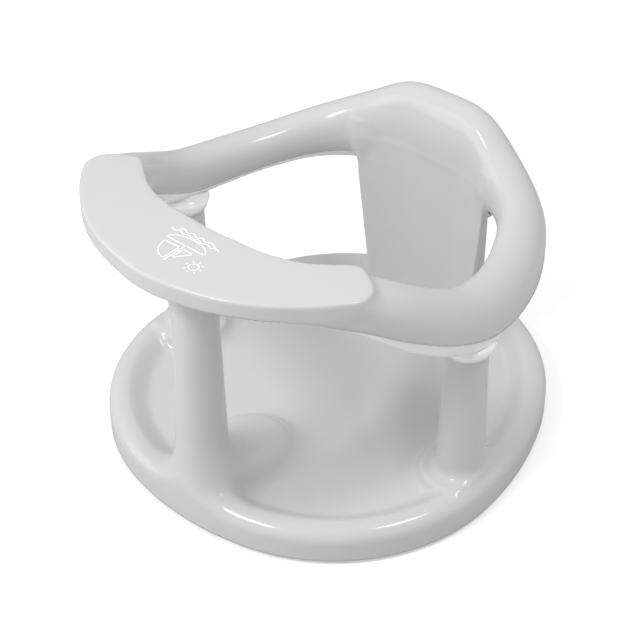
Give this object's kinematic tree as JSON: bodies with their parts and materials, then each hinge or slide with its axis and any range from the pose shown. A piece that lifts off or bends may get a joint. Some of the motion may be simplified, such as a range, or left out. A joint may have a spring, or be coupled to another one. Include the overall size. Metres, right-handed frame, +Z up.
{
  "type": "baby bath ring",
  "caption": "Baby bath ring: a moulded base with posts carries a hollow waist ring with a play tray and a curved backrest. Suction cups underneath grip the tub.",
  "frame": {"origin": "middle of the whole object's length and width, on the floor that the suction cups stand on", "axes": "+Z up, -Y the way the seated baby faces, +X to the baby's left"},
  "size_m": [0.337, 0.3751, 0.241],
  "materials": {
    "grey_shell": "moulded gloss, light grey",
    "pale_shell": "moulded gloss, near white",
    "cup_rubber": "soft translucent white"
  },
  "bodies": {
    "seat": {"base_shell": "grey_shell", "ring_upper_shell": "grey_shell", "ring_lower_shell": "pale_shell"},
    "cup_front_left": {"suction_cup_front_left": "cup_rubber"},
    "cup_front_right": {"suction_cup_front_right": "cup_rubber"},
    "cup_rear_left": {"suction_cup_rear_left": "cup_rubber"},
    "cup_rear_right": {"suction_cup_rear_right": "cup_rubber"}
  },
  "joints": [
    {"name": "cup_front_left_press", "type": "slide", "parent": "seat", "child": "cup_front_left", "axis": [0, 0, 1], "range_m": [0, 0.003], "stiffness_N_per_m": 1500, "springref_m": -0.0015, "deforming": ["suction_cup_front_left"]},
    {"name": "cup_front_right_press", "type": "slide", "parent": "seat", "child": "cup_front_right", "axis": [0, 0, 1], "range_m": [0, 0.003], "stiffness_N_per_m": 1500, "springref_m": -0.0015, "deforming": ["suction_cup_front_right"]},
    {"name": "cup_rear_left_press", "type": "slide", "parent": "seat", "child": "cup_rear_left", "axis": [0, 0, 1], "range_m": [0, 0.003], "stiffness_N_per_m": 1500, "springref_m": -0.0015, "deforming": ["suction_cup_rear_left"]},
    {"name": "cup_rear_right_press", "type": "slide", "parent": "seat", "child": "cup_rear_right", "axis": [0, 0, 1], "range_m": [0, 0.003], "stiffness_N_per_m": 1500, "springref_m": -0.0015, "deforming": ["suction_cup_rear_right"]}
  ]
}
